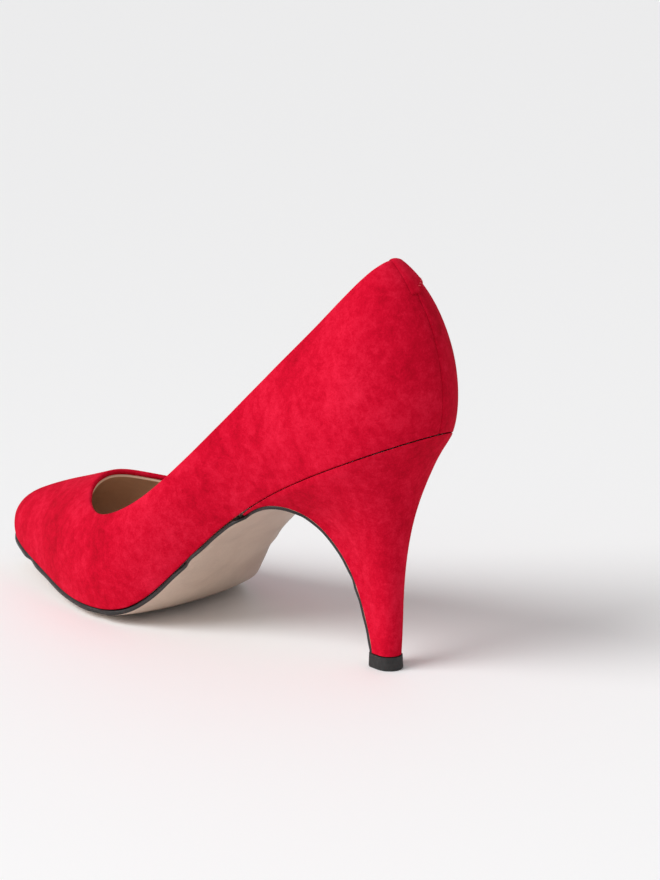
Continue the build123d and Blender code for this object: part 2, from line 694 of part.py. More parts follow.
def tab_section(side, s):
    c1, c2 = level(side, s, -GLUE), level(side, s, -TAB_T)
    low = TAB_H * (1 - TAB_TAPER * s / TAB_END)
    a = bez_part(c2, down(side, s, -TAB_T, low), 1.0)
    b = bez_part(c1, down(side, s, -GLUE, low), 1.0)[::-1]
    return rail(side, s, [a, b])


back_tab = Solid.make_loft([tab_section(-1, s) for s in (0, 0.1, 0.2, 0.3, TAB_END)], ruled=False)

# ---------------------------------------------------------------- save, origin under the middle
pieces = [("outer_upper", outer_upper), ("inner_quarter", inner_quarter), ("back_tab", back_tab),
          ("heel_counter", heel_counter), ("toe_puff", toe_puff),
          ("outer_interlining", outer_interlining), ("inner_interlining", inner_interlining),
          ("heel_grip", heel_grip), ("outer_quarter_lining", outer_quarter_lining),
          ("inner_quarter_lining", inner_quarter_lining), ("vamp_lining", vamp_lining),
          ("front_insole", front_insole), ("rear_insole", rear_insole), ("sock_foam", sock_foam),
          ("sock_lining", sock_lining), ("bottom_filler", bottom_filler), ("steel_shank", steel_shank),
          ("outsole", outsole), ("heel_core", heel_core), ("heel_cover", heel_cover),
          ("heel_tube", heel_tube), ("heel_screw", heel_screw), ("top_lift", top_lift),
          ("lift_pin", lift_pin)] + nails + rivets
boxes = [shape.bounding_box() for _, shape in pieces]
mid_x = (min(b.min.X for b in boxes) + max(b.max.X for b in boxes)) / 2
mid_y = (min(b.min.Y for b in boxes) + max(b.max.Y for b in boxes)) / 2
floor_z = min(b.min.Z for b in boxes)
for name, shape in pieces:
    solids = shape.solids()
    body = max(solids, key=lambda k: k.volume).moved(Location((-mid_x, -mid_y, -floor_z)))
    body.label = name
    export_step(body, "parts/" + name + ".step")
    print(name, len(solids), round(body.volume, 1), body.is_valid)
print("middle", round(mid_x, 3), round(mid_y, 3), "floor", round(floor_z, 3))
print("tread", round(outsole.bounding_box().min.Z, 3), "lift", round(top_lift.bounding_box().min.Z, 3))
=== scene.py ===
import bmesh
import bpy
import math
import numpy as np
from mathutils import Matrix, Vector


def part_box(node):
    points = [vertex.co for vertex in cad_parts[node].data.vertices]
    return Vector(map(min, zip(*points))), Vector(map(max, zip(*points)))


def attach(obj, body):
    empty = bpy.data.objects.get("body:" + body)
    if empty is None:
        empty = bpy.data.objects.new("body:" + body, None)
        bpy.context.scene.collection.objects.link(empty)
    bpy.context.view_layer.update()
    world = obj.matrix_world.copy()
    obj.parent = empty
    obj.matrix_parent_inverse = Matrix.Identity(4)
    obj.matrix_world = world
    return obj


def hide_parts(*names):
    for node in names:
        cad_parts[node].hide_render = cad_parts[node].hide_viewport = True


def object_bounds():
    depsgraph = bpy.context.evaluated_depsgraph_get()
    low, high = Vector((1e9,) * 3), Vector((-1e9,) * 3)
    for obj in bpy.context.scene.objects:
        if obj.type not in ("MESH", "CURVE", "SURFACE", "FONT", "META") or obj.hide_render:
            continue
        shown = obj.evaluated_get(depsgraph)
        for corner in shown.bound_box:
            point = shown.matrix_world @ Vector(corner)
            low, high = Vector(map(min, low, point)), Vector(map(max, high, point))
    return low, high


# High heel pump, left foot: the looks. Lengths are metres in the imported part's frame.
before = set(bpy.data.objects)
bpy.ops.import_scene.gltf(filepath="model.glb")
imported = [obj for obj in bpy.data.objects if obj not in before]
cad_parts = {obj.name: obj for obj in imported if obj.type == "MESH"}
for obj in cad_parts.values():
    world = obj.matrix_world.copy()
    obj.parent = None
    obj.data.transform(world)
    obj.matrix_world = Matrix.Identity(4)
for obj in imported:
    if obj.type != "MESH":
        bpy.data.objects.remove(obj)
cad_box = [[float(c) for c in corner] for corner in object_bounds()]
MM = 0.001

# ---------------------------------------------------------------- places read from the frame
tube_low, tube_high = (Vector(c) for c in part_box("heel_tube"))
upper_low = Vector(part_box("outer_upper")[0])
quarter_high = Vector(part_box("inner_quarter")[1])
CENTRE_Y = (tube_low.y + tube_high.y) / 2
HEEL_X = upper_low.x + 30 * MM          # the heel cup is swept round this line
TOE_X = upper_low.x + 142 * MM          # and the toe round this one
WAIST_X = quarter_high.x                # where the inner quarter meets the vamp

ROLL = 0.95 * MM                        # radius of the folded topline
FEATHER_ROLL = 0.9 * MM                 # radius of the upper's bottom edge
SEAM_ROLL = 0.75 * MM                   # radius of a turned seam edge
TUCK = 1.6 * MM                         # suede showing under the feather edge
WALL_ROWS = 56                          # points up the wall in every section
WELD = 2e-6                             # points closer than this are one point
RIPPLE = 0.12 * MM                      # height of the suede's slow unevenness
SMOOTHING = 2                           # rounds of evening out along the ring


# ---------------------------------------------------------------- reading sections of the CAD
def soup(*nodes):
    """Welded points and triangles of CAD nodes."""
    points, faces, base = [], [], 0
    for node in nodes:
        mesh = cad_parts[node].data
        mesh.calc_loop_triangles()
        co = np.empty(len(mesh.vertices) * 3)
        mesh.vertices.foreach_get("co", co)
        tri = np.empty(len(mesh.loop_triangles) * 3, dtype=np.int64)
        mesh.loop_triangles.foreach_get("vertices", tri)
        co = co.reshape(-1, 3)
        _, first, back = np.unique(np.round(co / WELD).astype(np.int64), axis=0,
                                   return_index=True, return_inverse=True)
        points.append(co[first])
        faces.append(back.reshape(-1)[tri].reshape(-1, 3) + base)
        base += len(first)
    return np.vstack(points), np.vstack(faces)


def cut(mesh, origin, along):
    """Closed loops where a vertical plane through origin meets the mesh, as (distance, height)."""
    points, faces = mesh
    normal = np.array([-along[1], along[0], 0.0])
    side = (points - np.array(origin)) @ normal
    side[np.abs(side) < 1e-9] = 1e-9
    over = side[faces] > 0
    hit = faces[(over.sum(1) > 0) & (over.sum(1) < 3)]
    links, spots = {}, {}
    for tri in hit:
        keys = []
        for a, b in ((tri[0], tri[1]), (tri[1], tri[2]), (tri[2], tri[0])):
            if (side[a] > 0) != (side[b] > 0):
                key = (min(a, b), max(a, b))
                if key not in spots:
                    k = side[a] / (side[a] - side[b])
                    p = points[a] + (points[b] - points[a]) * k
                    spots[key] = (float((p[:2] - np.array(origin[:2])) @ np.array(along[:2])), float(p[2]))
                keys.append(key)
        if len(keys) == 2:
            links.setdefault(keys[0], []).append(keys[1])
            links.setdefault(keys[1], []).append(keys[0])
    loops, seen = [], set()
    for start in links:
        if start in seen:
            continue
        run, here = [], start
        while here is not None and here not in seen:
            seen.add(here)
            run.append(spots[here])
            step = [k for k in links[here] if k not in seen]
            here = step[0] if step else None
        loops.append(np.array(run))
    return loops


def station(s):
    """Origin and direction of cutting plane s: 0 is the back, 1 to 2 the sides, 3 the toe point."""
    if s <= 1:
        return HEEL_X, math.pi * (1 - s / 2)
    if s <= 2:
        return HEEL_X + (TOE_X - HEEL_X) * (s - 1), math.pi / 2
    return TOE_X, math.pi / 2 * (3 - s)


def distances(points):
    """Running distance along a line of points."""
    return np.concatenate([[0], np.cumsum(np.linalg.norm(np.diff(points, axis=0), axis=1))])


def resample(run, count):
    """The same curve as evenly spaced points."""
    at = distances(run)
    want = np.linspace(0, at[-1], count)
    return np.stack([np.interp(want, at, run[:, k]) for k in range(run.shape[1])], axis=1)


def outer_wall(mesh, side, s):
    """The upper's outer face in plane s, from the feather line to the rim, as 3-D points."""
    ox, angle = station(s)
    along = (math.cos(angle), side * math.sin(angle), 0.0)
    best = None
    for loop in cut(mesh, (ox, CENTRE_Y, 0.0), along):
        if len(loop) > 8 and loop[:, 0].mean() > 0:
            if best is None or np.ptp(loop[:, 1]) > np.ptp(best[:, 1]):
                best = loop
    low = int(np.argmax(best[:, 0] - best[:, 1]))
    high = int(np.argmax(best[:, 1] + 0.3 * best[:, 0]))
    one = np.roll(best, -low, axis=0)[: (high - low) % len(best) + 1]
    two = np.roll(best[::-1], -(len(best) - 1 - low), axis=0)[: (low - high) % len(best) + 1]
    run = one if one[:, 0].mean() > two[:, 0].mean() else two
    run = resample(run, WALL_ROWS)
    return np.stack([ox + run[:, 0] * along[0], CENTRE_Y + run[:, 0] * along[1], run[:, 1]], axis=1)


def smooth_ring(grid):
    """Evens out the small facets of the CAD mesh along the closed ring of sections."""
    for _ in range(SMOOTHING):
        grid = (np.roll(grid, 1, axis=0) + 2 * grid + np.roll(grid, -1, axis=0)) / 4
    return grid


suede_mesh = soup("outer_upper", "inner_quarter")
BACK_STEPS, SIDE_STEPS, TOE_STEPS = 26, 52, 40
TOE_CROWDING = 1.35                     # draws the sections together towards the toe point
BACK_SEAM = 0.006                       # the first station stands this far from the back seam
WAIST_NEAR = 0.003                      # a station this close to the waist seam
WAIST_SEAM = 0.004                      # is moved by this much
plain = [i / BACK_STEPS for i in range(1, BACK_STEPS)]
plain += [1 + i / SIDE_STEPS for i in range(SIDE_STEPS)]
plain += list(2 + (1 - (1 - np.linspace(0, 1, TOE_STEPS)) ** TOE_CROWDING))
ring_s = [(1, 0.0)] + [(1, s) for s in plain] + [(-1, s) for s in plain[-2::-1]]
ring_s = [(side, min(max(s, BACK_SEAM), 3.0)) for side, s in ring_s]
waist_s = 1 + (WAIST_X - HEEL_X) / (TOE_X - HEEL_X)


def beside_waist(side, s):
    """Moves an inner station off the waist seam."""
    if side < 0 and abs(s - waist_s) < WAIST_NEAR:
        return side, s + (WAIST_SEAM if s > waist_s else -WAIST_SEAM)
    return side, s


ring_s = [beside_waist(side, s) for side, s in ring_s]
walls = np.array([outer_wall(suede_mesh, side, s) for side, s in ring_s])
RINGS = len(walls)
walls = smooth_ring(walls)


# ---------------------------------------------------------------- the wall as a smooth sheet
def unit(v):
    """Vectors made one long."""
    return v / np.maximum(np.linalg.norm(v, axis=-1, keepdims=True), 1e-12)


def ring_normals(grid):
    """Surface normals of a closed ring of sections."""
    around = np.roll(grid, -1, axis=0) - np.roll(grid, 1, axis=0)
    up = np.gradient(grid, axis=1)
    return unit(np.cross(around, up)) * -1.0


def outward(grid, normals):
    """Flips the normals if they point into the shoe."""
    mid = grid.mean(axis=(0, 1))
    return normals if ((grid - mid) * normals).sum() > 0 else -normals


normals = outward(walls, ring_normals(walls))


def ripple(p):
    """Slow hand-made unevenness of lasted suede, between -1 and 1."""
    q = p / MM
    a = np.sin(q[..., 0] * 0.21 + 1.3) * np.sin(q[..., 1] * 0.27 + 0.4) * np.sin(q[..., 2] * 0.24 + 2.1)
    b = np.sin(q[..., 0] * 0.09 + q[..., 2] * 0.12) * np.sin(q[..., 1] * 0.15 - q[..., 2] * 0.07 + 0.8)
    return 0.5 * a + 0.5 * b


walls = walls + normals * (ripple(walls) * RIPPLE)[..., None]


def along_row(row, normal_row, dist_from_top):
    """Points and normals of one row at given distances below the rim."""
    at = distances(row)
    want = at[-1] - np.asarray(dist_from_top)
    p = np.stack([np.interp(want, at, row[:, k]) for k in range(3)], axis=1)
    n = unit(np.stack([np.interp(want, at, normal_row[:, k]) for k in range(3)], axis=1))
    return p, n


def row_length(row):
    """Length of a section from the feather line to the rim."""
    return np.linalg.norm(np.diff(row, axis=0), axis=1).sum()


def fold_over(end, n, up, r):
    """Half circle from the end of the wall over the rim, and its centre."""
    centre = end - n * r
    turns = np.radians(range(18, 181, 18))
    return [centre + (n * math.cos(a) + up * math.sin(a)) * r for a in turns], centre


def suede_profile(row, nrow):
    """One strip of the suede from its tucked bottom edge, up the wall, over the fold and down inside."""
    total = row_length(row)
    r, f = ROLL, FEATHER_ROLL
    wall, n = along_row(row, nrow, np.linspace(total - f, r, WALL_ROWS))
    up_low = unit(wall[1] - wall[0])
    centre = wall[0] - n[0] * f
    bottom = [centre + (n[0] * math.cos(a) - up_low * math.sin(a)) * f
              for a in np.radians([90, 72, 54, 36, 18])]
    bottom = [bottom[0] - n[0] * TUCK] + bottom
    up_top = unit(wall[-1] - wall[-2])
    top, centre = fold_over(wall[-1], n[-1], up_top, r)
    inner = [centre - n[-1] * r - up_top * d for d in (0.8 * MM, 1.6 * MM)]
    return np.array(bottom + list(wall) + top + inner)


SEAM_STEPS = (0.0, 0.06, 0.2, 0.42, 0.75)    # millimetres from the seam to where its roll ends
MID_ROWS = slice(20, 40)                     # the middle of a strip


def seam_end(rows, at_start):
    """Adds the turned-in edge of a seam to a run of strips."""
    if not at_start:
        return seam_end(rows[::-1], True)[::-1]
    first, second = rows[0], rows[1]
    span = np.linalg.norm(second - first, axis=1, keepdims=True)
    step = (second - first) / np.maximum(span, 1e-9)
    up = np.gradient(first, axis=0)
    n = unit(np.cross(step, up))
    mid = rows.mean(axis=(0, 1))
    body = first[MID_ROWS].mean(axis=0)
    inside = np.array([body[0] * 0.6 + mid[0] * 0.4, CENTRE_Y, body[2]])
    if (n[MID_ROWS].mean(axis=0) * (body - inside)).sum() < 0:
        n = -n
    new = [first - n * (SEAM_ROLL + 0.7 * MM)]
    for d in SEAM_STEPS:
        reach = SEAM_ROLL * (1 - d / SEAM_STEPS[-1])
        depth = SEAM_ROLL - math.sqrt(max(SEAM_ROLL ** 2 - reach ** 2, 0))
        new.append(first + step * d * MM - n * depth)
    return np.concatenate([np.array(new), rows[1:]])


# ---------------------------------------------------------------- making objects
def mesh_from_grid(name, grid):
    """Smooth object from a grid of points."""
    rows, cols = grid.shape[:2]
    faces = []
    for i in range(rows - 1):
        for k in range(cols - 1):
            here, there = i * cols + k, (i + 1) * cols + k
            faces.append((here, there, there + 1, here + 1))
    mesh = bpy.data.meshes.new(name)
    mesh.from_pydata([tuple(p) for p in grid.reshape(-1, 3)], [], faces)
    mesh.validate()
    obj = bpy.data.objects.new(name, mesh)
    bpy.context.scene.collection.objects.link(obj)
    for poly in mesh.polygons:
        poly.use_smooth = True
    return obj


def face_out(obj, reference):
    """Turns the faces so that they look away from the reference point."""
    mesh = obj.data
    total = sum((p.center - reference).dot(p.normal) * p.area for p in mesh.polygons)
    if total < 0:
        mesh.flip_normals()


def finish_piece(obj, material, nodes=()):
    """Gives a piece its material and body, and hides the CAD nodes it stands for."""
    obj.data.materials.append(material)
    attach(obj, "root")
    if nodes:
        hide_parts(*nodes)
    return obj


# ---------------------------------------------------------------- materials
def new_material(name):
    """A node material, its nodes, its links and its shader."""
    mat = bpy.data.materials.new(name)
    mat.use_nodes = True
    return mat, mat.node_tree.nodes, mat.node_tree.links, mat.node_tree.nodes["Principled BSDF"]


def noise(nodes, links, coords, scale, detail=3.0, rough=0.5, distort=0.0):
    """Noise texture in object space, as a value."""
    n = nodes.new("ShaderNodeTexNoise")
    n.inputs["Scale"].default_value = scale
    n.inputs["Detail"].default_value = detail
    n.inputs["Roughness"].default_value = rough
    n.inputs["Distortion"].default_value = distort
    links.new(coords, n.inputs["Vector"])
    return n.outputs["Fac"]


def ramp(nodes, links, value, stops):
    """Colour from a value, by (position, colour) stops."""
    r = nodes.new("ShaderNodeValToRGB")
    while len(r.color_ramp.elements) < len(stops):
        r.color_ramp.elements.new(0.5)
    for e, (pos, col) in zip(r.color_ramp.elements, stops):
        e.position = pos
        e.color = col
    links.new(value, r.inputs["Fac"])
    return r.outputs["Color"]


def maths(nodes, links, op, a, b):
    """Math node; a and b are numbers or sockets."""
    m = nodes.new("ShaderNodeMath")
    m.operation = op
    for k, v in enumerate((a, b)):
        if isinstance(v, (int, float)):
            m.inputs[k].default_value = v
        else:
            links.new(v, m.inputs[k])
    return m.outputs[0]


def bump(nodes, links, height, strength, distance, normal=None):
    """Bump on top of an optional normal."""
    b = nodes.new("ShaderNodeBump")
    b.inputs["Strength"].default_value = strength
    b.inputs["Distance"].default_value = distance
    links.new(height, b.inputs["Height"])
    if normal is not None:
        links.new(normal, b.inputs["Normal"])
    return b.outputs["Normal"]


def suede(name, dark, mid, light, grain=3800.0):
    """Napped suede: brushed patches, fine fibres and a soft sheen."""
    mat, nodes, links, bsdf = new_material(name)
    coords = nodes.new("ShaderNodeTexCoord").outputs["Object"]
    stretch = nodes.new("ShaderNodeMapping")
    stretch.inputs["Scale"].default_value = (1.0, 1.0, 0.55)
    stretch.inputs["Rotation"].default_value = (0.2, 0.7, 0.3)
    links.new(coords, stretch.inputs["Vector"])
    patches = noise(nodes, links, stretch.outputs["Vector"], 42.0, 4.0, 0.62, 0.6)
    mottle = noise(nodes, links, coords, 330.0, 4.0, 0.66, 0.3)
    nap = noise(nodes, links, coords, 1500.0, 3.0, 0.7)
    fibre = noise(nodes, links, coords, grain, 2.0, 0.6)
    tone = maths(nodes, links, "MULTIPLY_ADD", patches, 0.42)
    tone.node.inputs[2].default_value = 0.0
    for value, amount in ((mottle, 0.30), (nap, 0.20), (fibre, 0.12)):
        step = maths(nodes, links, "MULTIPLY_ADD", value, amount)
        links.new(tone, step.node.inputs[2])
        tone = step
    color = ramp(nodes, links, tone, [(0.33, dark), (0.51, mid), (0.70, light)])
    links.new(color, bsdf.inputs["Base Color"])
    bsdf.inputs["Roughness"].default_value = 0.96
    bsdf.inputs["Specular IOR Level"].default_value = 0.04
    bsdf.inputs["Sheen Weight"].default_value = 0.10
    bsdf.inputs["Sheen Roughness"].default_value = 0.45
    bsdf.inputs["Sheen Tint"].default_value = (1.0, 0.03, 0.08, 1.0)
    n1 = bump(nodes, links, mottle, 0.25, 0.25 * MM)
    n2 = bump(nodes, links, nap, 0.35, 0.12 * MM, n1)
    n3 = bump(nodes, links, fibre, 0.45, 0.06 * MM, n2)
    links.new(n3, bsdf.inputs["Normal"])
    return mat


def leather(name, base, shade, rough, pore=900.0, strength=0.25, spec=0.35):
    """Smooth leather: faint cloudiness, pebbled pores and a low shine."""
    mat, nodes, links, bsdf = new_material(name)
    coords = nodes.new("ShaderNodeTexCoord").outputs["Object"]
    cloud = noise(nodes, links, coords, 60.0, 4.0, 0.6, 0.4)
    speck = noise(nodes, links, coords, pore * 1.6, 3.0, 0.6)
    pores = nodes.new("ShaderNodeTexVoronoi")
    pores.inputs["Scale"].default_value = pore
    links.new(coords, pores.inputs["Vector"])
    tone = maths(nodes, links, "MULTIPLY_ADD", cloud, 0.7)
    speck_part = maths(nodes, links, "MULTIPLY", speck, 0.3)
    links.new(speck_part, tone.node.inputs[2])
    color = ramp(nodes, links, tone, [(0.34, shade), (0.62, base)])
    links.new(color, bsdf.inputs["Base Color"])
    r = maths(nodes, links, "MULTIPLY_ADD", speck, 0.18)
    r.node.inputs[2].default_value = rough - 0.09
    links.new(r, bsdf.inputs["Roughness"])
    bsdf.inputs["Specular IOR Level"].default_value = spec
    n1 = bump(nodes, links, pores.outputs["Distance"], strength, 0.08 * MM)
    n2 = bump(nodes, links, speck, strength, 0.05 * MM, n1)
    links.new(n2, bsdf.inputs["Normal"])
    return mat


def plain_stuff(name, base, shade, rough, metal=0.0, grain=1200.0, strength=0.15):
    """Speckled matt stuff: ink, rubber, board, steel."""
    mat, nodes, links, bsdf = new_material(name)
    coords = nodes.new("ShaderNodeTexCoord").outputs["Object"]
    speck = noise(nodes, links, coords, grain, 4.0, 0.6)
    color = ramp(nodes, links, speck, [(0.35, shade), (0.65, base)])
    links.new(color, bsdf.inputs["Base Color"])
    bsdf.inputs["Metallic"].default_value = metal
    r = maths(nodes, links, "MULTIPLY_ADD", speck, 0.2)
    r.node.inputs[2].default_value = rough - 0.1
    links.new(r, bsdf.inputs["Roughness"])
    links.new(bump(nodes, links, speck, strength, 0.05 * MM), bsdf.inputs["Normal"])
    return mat


RED = suede("red_suede", (0.30, 0.001, 0.008, 1), (0.55, 0.003, 0.022, 1), (0.78, 0.018, 0.055, 1))
THREAD = plain_stuff("red_thread", (0.80, 0.03, 0.06, 1), (0.55, 0.01, 0.03, 1), 0.6,
                     grain=5000.0, strength=0.4)
LINING = leather("lining_leather", (0.72, 0.52, 0.38, 1), (0.60, 0.42, 0.30, 1), 0.52)
LINING_EDGE = leather("lining_cut_edge", (0.86, 0.70, 0.55, 1), (0.74, 0.56, 0.42, 1), 0.85,
                      1800.0, 0.5, 0.1)
GRIP = suede("lining_suede", (0.42, 0.29, 0.20, 1), (0.56, 0.40, 0.29, 1), (0.68, 0.51, 0.38, 1))
GRIP.node_tree.nodes["Principled BSDF"].inputs["Sheen Tint"].default_value = (1, 0.9, 0.8, 1)
SOLE = leather("sole_leather", (0.56, 0.43, 0.34, 1), (0.46, 0.34, 0.265, 1), 0.36, 700.0, 0.12, 0.45)
EDGE = plain_stuff("edge_ink", (0.006, 0.005, 0.005, 1), (0.014, 0.012, 0.011, 1), 0.5, grain=900.0)
RUBBER = plain_stuff("lift_rubber", (0.006, 0.006, 0.006, 1), (0.014, 0.013, 0.013, 1), 0.55,
                     grain=700.0)
STEEL = plain_stuff("steel", (0.55, 0.55, 0.57, 1), (0.42, 0.42, 0.44, 1), 0.35, 1.0)
BOARD = plain_stuff("insole_board", (0.46, 0.35, 0.24, 1), (0.36, 0.27, 0.18, 1), 0.9)
PALE = plain_stuff("pale_stuff", (0.75, 0.72, 0.64, 1), (0.62, 0.59, 0.52, 1), 0.85)

# ---------------------------------------------------------------- suede upper
profiles = np.array([suede_profile(walls[i], normals[i]) for i in range(RINGS)])
CROWDED = 0.35                          # a strip this close to the seam, in shares, is dropped
waist_i = next(i for i, (side, s) in enumerate(ring_s) if side < 0 and s < waist_s)
foot_centre = Vector(((cad_box[0][0] + cad_box[1][0]) / 2, CENTRE_Y, 60 * MM))
share = (ring_s[waist_i - 1][1] - waist_s) / (ring_s[waist_i - 1][1] - ring_s[waist_i][1])
waist_row = profiles[waist_i - 1] * (1 - share) + profiles[waist_i] * share
back_row = (profiles[0] + profiles[-1]) / 2
vamp_rows = np.concatenate([[back_row], profiles[1:waist_i], [waist_row]])
if share < CROWDED:
    vamp_rows = np.delete(vamp_rows, -2, axis=0)
quarter_rows = np.concatenate([[waist_row], profiles[waist_i + 1:-1], [back_row]])
vamp_rows = seam_end(seam_end(vamp_rows, True), False)
quarter_rows = seam_end(seam_end(quarter_rows, True), False)
upper = mesh_from_grid("upper_vamp_and_outer_quarter", vamp_rows)
inner = mesh_from_grid("upper_inner_quarter", quarter_rows)
for obj, node in ((upper, "outer_upper"), (inner, "inner_quarter")):
    face_out(obj, foot_centre)
    finish_piece(obj, RED, (node,))


# ---------------------------------------------------------------- linings
DROP = 1.35 * MM                        # cut edge of the lining below the rim
LINING_END = 3.5 * MM                   # the lining ends this far above the feather line
LINING_ROWS = 44
EDGE_ROWS = 5                           # rows of each strip that belong to the cut edge
NEAR_X = 6 * MM                         # a section fits x only if its low end is this close
FAR_OFF = 9                             # added to the miss of one that does not
GRIP_DEPTH = 3.0 * MM                   # inner faces of the linings behind the suede's outer face
QUARTER_DEPTH = 2.85 * MM
VAMP_DEPTH = 2.95 * MM


def lining_profile(row, nrow, depth):
    """One strip of lining: the light cut edge under the rim, then down the inside."""
    total = row_length(row)
    steps = np.linspace(DROP + 0.3 * MM, total - LINING_END, LINING_ROWS)
    p, n = along_row(row, nrow, steps)
    skin = p - n * depth
    up = unit(p[0] - p[1])
    edge_in = p[0] - n[0] * (2 * ROLL + 0.04 * MM)
    top = [edge_in - up * 1.0 * MM, edge_in + up * 0.12 * MM, edge_in - n[0] * 0.2 * MM + up * 0.3 * MM,
           skin[0] + n[0] * 0.2 * MM + up * 0.3 * MM, skin[0] + n[0] * 0.04 * MM + up * 0.15 * MM]
    return np.array(top + list(skin))


def ring_at_x(side, x):
    """Number of the section on one side that stands nearest to x."""
    def miss(i):
        return abs(walls[i][:, 0].mean() - x) + (FAR_OFF if abs(walls[i][0, 0] - x) > NEAR_X else 0)
    return min((i for i, (own, s) in enumerate(ring_s) if own == side), key=miss)


def lining_piece(name, order, depth, material, nodes):
    """Lining along a run of sections, its cut edge in the lighter material."""
    grid = np.array([lining_profile(walls[i], normals[i], depth) for i in order])
    obj = mesh_from_grid(name, grid)
    obj.data.materials.append(material)
    obj.data.materials.append(LINING_EDGE)
    cols = grid.shape[1] - 1
    for k, poly in enumerate(obj.data.polygons):
        poly.material_index = 1 if k % cols < EDGE_ROWS else 0
    total = sum((p.center - foot_centre).dot(p.normal) * p.area for p in obj.data.polygons)
    if total > 0:
        obj.data.flip_normals()
    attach(obj, "root")
    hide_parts(*nodes)
    return obj


grip_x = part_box("heel_grip")[1][0]
vamp_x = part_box("vamp_lining")[0][0]
g_out, g_in = ring_at_x(1, grip_x), ring_at_x(-1, grip_x)
v_out, v_in = ring_at_x(1, vamp_x), ring_at_x(-1, vamp_x)
lining_piece("lining_heel_grip", list(range(g_in, RINGS)) + list(range(g_out + 1)), GRIP_DEPTH, GRIP,
             ("heel_grip",))
lining_piece("lining_outer_quarter", list(range(g_out - 1, v_out + 1)), QUARTER_DEPTH, LINING,
             ("outer_quarter_lining",))
lining_piece("lining_inner_quarter", list(range(v_in, g_in + 2)), QUARTER_DEPTH, LINING,
             ("inner_quarter_lining",))
lining_piece("lining_vamp", list(range(v_out - 1, v_in + 2)), VAMP_DEPTH, LINING,
             ("vamp_lining",))

# ---------------------------------------------------------------- back tab and its stitches
TAB_REACH = 11 * MM                     # round the heel on the inner side
TAB_HIGH = 15 * MM                      # height at the back seam
TAB_FALL = 5.5 * MM                     # height lost at its far end
TAB_THICK = 0.55 * MM
TAB_OVER = 3.2 * MM                     # runs this far past the seam on the outer side
TAB_RISE = 2.6 * MM                     # reaches its full thickness over this distance
TAB_GLUE = 0.06 * MM
TAB_LEAD = 3.4 * MM                     # outer strips are made up to this distance
TAB_ROWS = 26
TAB_STRIPS = 24                         # sections looked at on the inner side
TAB_STITCH_IN = 1.3 * MM                # stitches above its lower edge
STITCH_STAND = 0.72 * MM                # stitches off the upper's face
GAUGE_ROW = 40                          # row along which distances from the seam are measured
seam_gap = distances(walls[::-1][:, GAUGE_ROW])


def tab_strip(index, distance):
    """One strip of the tab at a distance from the back seam, negative on the outer side."""
    row, nrow = walls[index], normals[index]
    low = TAB_HIGH - TAB_FALL * max(distance, 0) / TAB_REACH
    thick = TAB_THICK * min(max((distance + TAB_OVER) / TAB_RISE, 0), 1)
    steps = np.linspace(low, ROLL, TAB_ROWS)
    p, n = along_row(row, nrow, steps)
    wall = p + n * (thick + TAB_GLUE)
    r = ROLL + (thick + TAB_GLUE) / 2
    up = unit(p[-1] - p[-2])
    top, _ = fold_over(wall[-1], n[-1], up, r)
    foot = [p[0] - n[0] * 0.4 * MM - up * 0.05 * MM, p[0] + n[0] * thick * 0.55 - up * 0.16 * MM]
    return np.array(foot + list(wall) + top + [top[-1] - up * 1.2 * MM])


outer_gap = distances(walls[:, GAUGE_ROW])
strips = []
for i in range(5, 0, -1):
    if outer_gap[i] < TAB_LEAD:
        strips.append(tab_strip(i, -outer_gap[i]))
last = 0
for i in range(TAB_STRIPS):
    if seam_gap[i] <= TAB_REACH:
        strips.append(tab_strip(RINGS - 1 - i, seam_gap[i]))
        last = i
edge = strips[-1]
n_edge = unit(normals[RINGS - 1 - last].mean(axis=0))
strips.append(edge - n_edge * 0.25 * MM + unit(strips[-1] - strips[-2]) * 0.15 * MM)
strips.append(edge - n_edge * 1.0 * MM + unit(strips[-1] - strips[-2]) * 0.12 * MM)
tab = mesh_from_grid("upper_back_tab", np.array(strips))
face_out(tab, foot_centre)
finish_piece(tab, RED, ("back_tab",))


def stitch(p, q, n, thick):
    """One thread stitch: a short bowed sausage from p to q standing on the surface."""
    ring, rows = 8, 9
    pts = []
    along = unit(q - p)
    side = unit(np.cross(along, n))
    for i in range(rows):
        t = i / (rows - 1)
        arch = math.sin(math.pi * t)
        r = thick * (0.35 + 0.65 * arch ** 0.5)
        c = p * (1 - t) + q * t + n * (arch * thick * 0.8 - thick * 0.5)
        for k in range(ring):
            a = 2 * math.pi * k / ring
            pts.append(c + side * math.cos(a) * r + n * math.sin(a) * r)
    faces = []
    for i in range(rows - 1):
        for k in range(ring):
            m = (k + 1) % ring
            faces.append((i * ring + k, i * ring + m, (i + 1) * ring + m, (i + 1) * ring + k))
    return pts, faces


def stitch_run(name, line, line_normals, pitch, length, thick, slant, material):
    """Stitches along a line; slant leans each one across it."""
    at = distances(line)
    verts, faces = [], []
    here = pitch * 0.5
    while here + length < at[-1]:
        ends = []
        for d in (here, here + length):
            p = np.array([np.interp(d, at, line[:, k]) for k in range(3)])
            n = unit(np.array([np.interp(d, at, line_normals[:, k]) for k in range(3)]))
            ends.append((p, n))
        n = unit(ends[0][1] + ends[1][1])
        cross = unit(np.cross(ends[1][0] - ends[0][0], n))
        p, f = stitch(ends[0][0] - cross * slant, ends[1][0] + cross * slant, n, thick)
        faces += [tuple(v + len(verts) for v in face) for face in f]
        verts += p
        here += pitch
    mesh = bpy.data.meshes.new(name)
    mesh.from_pydata([tuple(v) for v in verts], [], faces)
    for poly in mesh.polygons:
        poly.use_smooth = True
    obj = bpy.data.objects.new(name, mesh)
    bpy.context.scene.collection.objects.link(obj)
    finish_piece(obj, material)
    return obj


